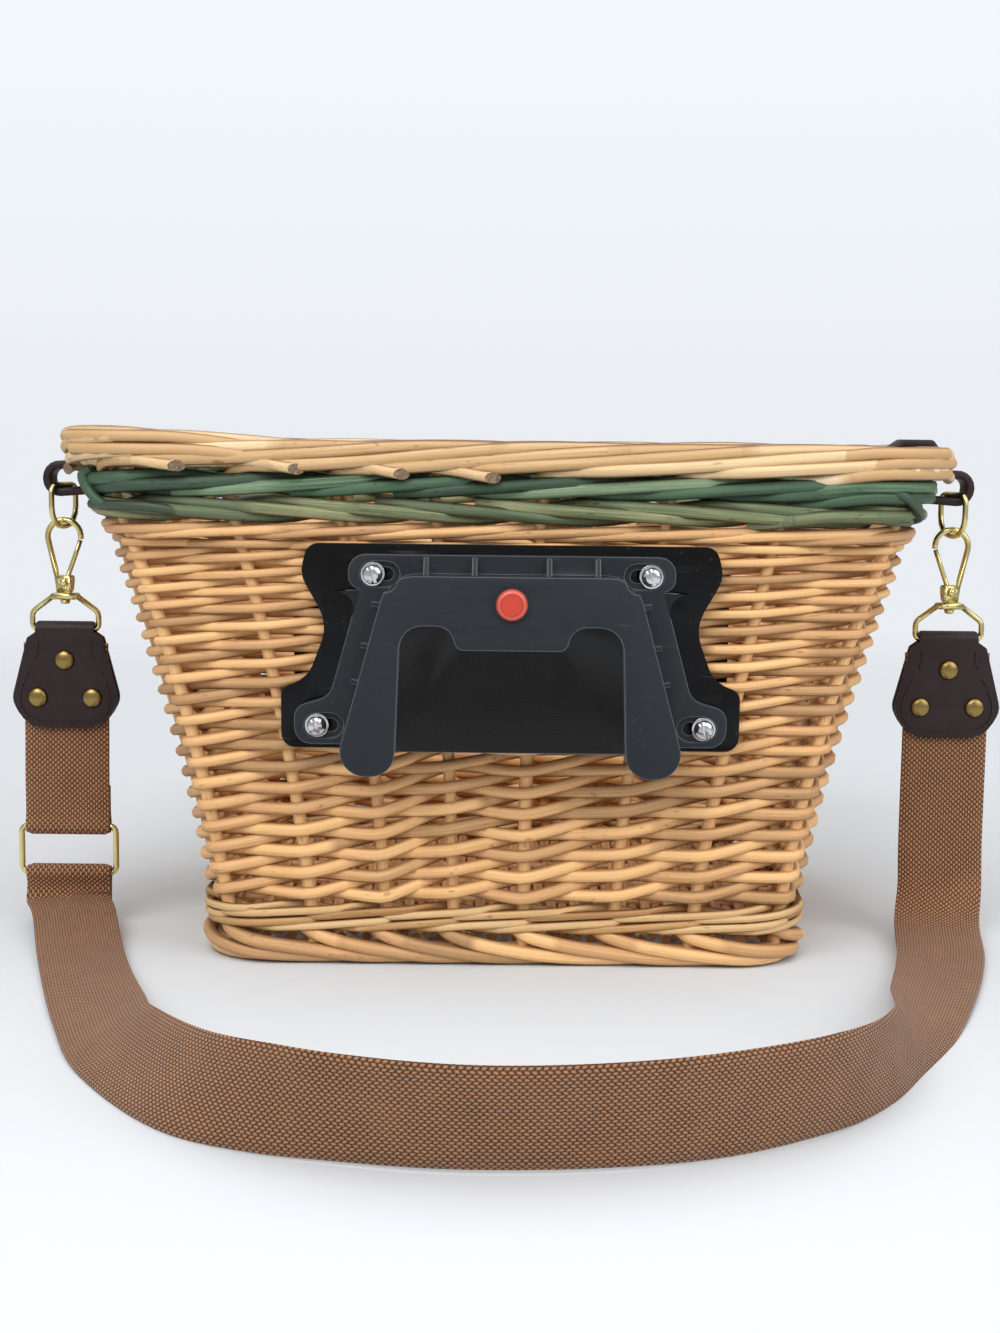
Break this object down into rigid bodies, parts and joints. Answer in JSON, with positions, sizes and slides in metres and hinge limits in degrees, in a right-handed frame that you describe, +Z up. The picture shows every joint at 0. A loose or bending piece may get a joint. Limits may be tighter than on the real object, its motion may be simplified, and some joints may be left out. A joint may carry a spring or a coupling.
{
  "type": "wicker bicycle basket",
  "caption": "Woven willow bicycle basket with green bands, a quick-release handlebar adapter on one long wall and a webbing shoulder strap on snap hooks.",
  "frame": {"origin": "on the ground under the middle of the rigid basket with its adapter; the free strap is not counted", "axes": "+Z up, +X to the right along the long side, -Y out of the wall that carries the handlebar adapter"},
  "size_m": [0.4546, 0.513, 0.2285],
  "materials": {
    "willow": "peeled split-brown willow rods, satin",
    "peeled_willow": "thick pale willow rods, satin",
    "green_willow": "willow rods stained green",
    "black_paint": "gloss black",
    "slate_plastic": "moulded, fine texture",
    "red_plastic": "moulded, smooth",
    "spring_steel": "bright wire",
    "bright_steel": "bright zinc plate",
    "pale_brass": "polished pale gold plate",
    "old_brass": "antique brass",
    "dark_leather": "smooth, slightly waxed",
    "brown_webbing": "chunky woven webbing"
  },
  "bodies": {
    "basket": {"base_mat": "willow", "foot_border": "willow", "foot_wale": "willow", "wall_weave": "willow", "top_wale": "willow", "green_wale_lower": "green_willow", "green_wale_upper": "green_willow", "rim_border": "peeled_willow", "mounting_plate": "black_paint", "backing_plate": "black_paint", "adapter_body": "slate_plastic", "button_spring": "spring_steel", "bolt_upper_left": "bright_steel", "bolt_upper_right": "bright_steel", "bolt_lower_left": "bright_steel", "bolt_lower_right": "bright_steel", "washer_upper_left": "bright_steel", "washer_upper_right": "bright_steel", "washer_lower_left": "bright_steel", "washer_lower_right": "bright_steel", "nut_upper_left": "bright_steel", "nut_upper_right": "bright_steel", "nut_lower_left": "bright_steel", "nut_lower_right": "bright_steel", "left_leather_loop": "dark_leather", "right_leather_loop": "dark_leather", "shoulder_strap": "brown_webbing"},
    "release": {"release_button": "red_plastic", "latch_tongue": "slate_plastic"},
    "left_ring": {"left_ring": "pale_brass"},
    "left_hook": {"left_snap_hook": "pale_brass", "left_gate_pin": "pale_brass"},
    "left_gate": {"left_hook_gate": "pale_brass"},
    "left_bow": {"left_strap_bow": "pale_brass"},
    "left_tab": {"left_leather_tab": "dark_leather", "left_tab_rivet_1": "old_brass", "left_tab_rivet_2": "old_brass", "left_tab_rivet_3": "old_brass", "short_webbing": "brown_webbing"},
    "right_ring": {"right_ring": "pale_brass"},
    "right_hook": {"right_snap_hook": "pale_brass", "right_gate_pin": "pale_brass"},
    "right_gate": {"right_hook_gate": "pale_brass"},
    "right_bow": {"right_strap_bow": "pale_brass"},
    "right_tab": {"right_leather_tab": "dark_leather", "right_tab_rivet_1": "old_brass", "right_tab_rivet_2": "old_brass", "right_tab_rivet_3": "old_brass"},
    "slide_ring": {"slide_ring": "pale_brass"}
  },
  "joints": [
    {"name": "button_press", "type": "slide", "parent": "basket", "child": "release", "axis": [0, 0.9984, 0.0562], "range_m": [0, 0.004], "stiffness_N_per_m": 400, "springref_m": -0.002, "deforming": ["button_spring"]},
    {"name": "left_ring_swing", "type": "hinge", "parent": "basket", "child": "left_ring", "pos_m": [-0.20332, -0.04628, 0.2045], "axis": [0.309, 0.9511, 0], "range_deg": [-8, 70], "deforming": ["shoulder_strap"]},
    {"name": "left_hook_swing", "type": "hinge", "parent": "left_ring", "child": "left_hook", "pos_m": [-0.20332, -0.04628, 0.18845], "axis": [1, 0, 0], "range_deg": [-60, 60], "deforming": ["shoulder_strap"]},
    {"name": "left_gate_open", "type": "hinge", "parent": "left_hook", "child": "left_gate", "pos_m": [-0.20332, -0.04628, 0.15985], "axis": [0, -1, 0], "range_deg": [0, 25], "stiffness_Nm_per_rad": 0.01, "springref_deg": -17.19},
    {"name": "left_bow_swivel", "type": "hinge", "parent": "left_hook", "child": "left_bow", "pos_m": [-0.20332, -0.04628, 0.1535], "axis": [0, 0, -1], "continuous": true, "deforming": ["shoulder_strap"]},
    {"name": "left_tab_swing", "type": "hinge", "parent": "left_bow", "child": "left_tab", "pos_m": [-0.20332, -0.04628, 0.1382], "axis": [1, 0, 0], "range_deg": [-85, 85], "deforming": ["shoulder_strap"]},
    {"name": "right_ring_swing", "type": "hinge", "parent": "basket", "child": "right_ring", "pos_m": [0.20332, -0.04628, 0.2045], "axis": [0.309, -0.9511, 0], "range_deg": [-8, 70], "deforming": ["shoulder_strap"]},
    {"name": "right_hook_swing", "type": "hinge", "parent": "right_ring", "child": "right_hook", "pos_m": [0.20332, -0.04628, 0.18845], "axis": [1, 0, 0], "range_deg": [-60, 60], "deforming": ["shoulder_strap"]},
    {"name": "right_gate_open", "type": "hinge", "parent": "right_hook", "child": "right_gate", "pos_m": [0.20332, -0.04628, 0.15985], "axis": [0, 1, 0], "range_deg": [0, 25], "stiffness_Nm_per_rad": 0.01, "springref_deg": -17.19},
    {"name": "right_bow_swivel", "type": "hinge", "parent": "right_hook", "child": "right_bow", "pos_m": [0.20332, -0.04628, 0.1535], "axis": [0, 0, 1], "continuous": true, "deforming": ["shoulder_strap"]},
    {"name": "right_tab_swing", "type": "hinge", "parent": "right_bow", "child": "right_tab", "pos_m": [0.20332, -0.04628, 0.1382], "axis": [1, 0, 0], "range_deg": [-85, 85], "deforming": ["shoulder_strap"]},
    {"name": "slide_ring_swing", "type": "hinge", "parent": "left_tab", "child": "slide_ring", "pos_m": [-0.20332, -0.04628, 0.046], "axis": [1, 0, 0], "range_deg": [-45, 45], "deforming": ["shoulder_strap"]}
  ]
}
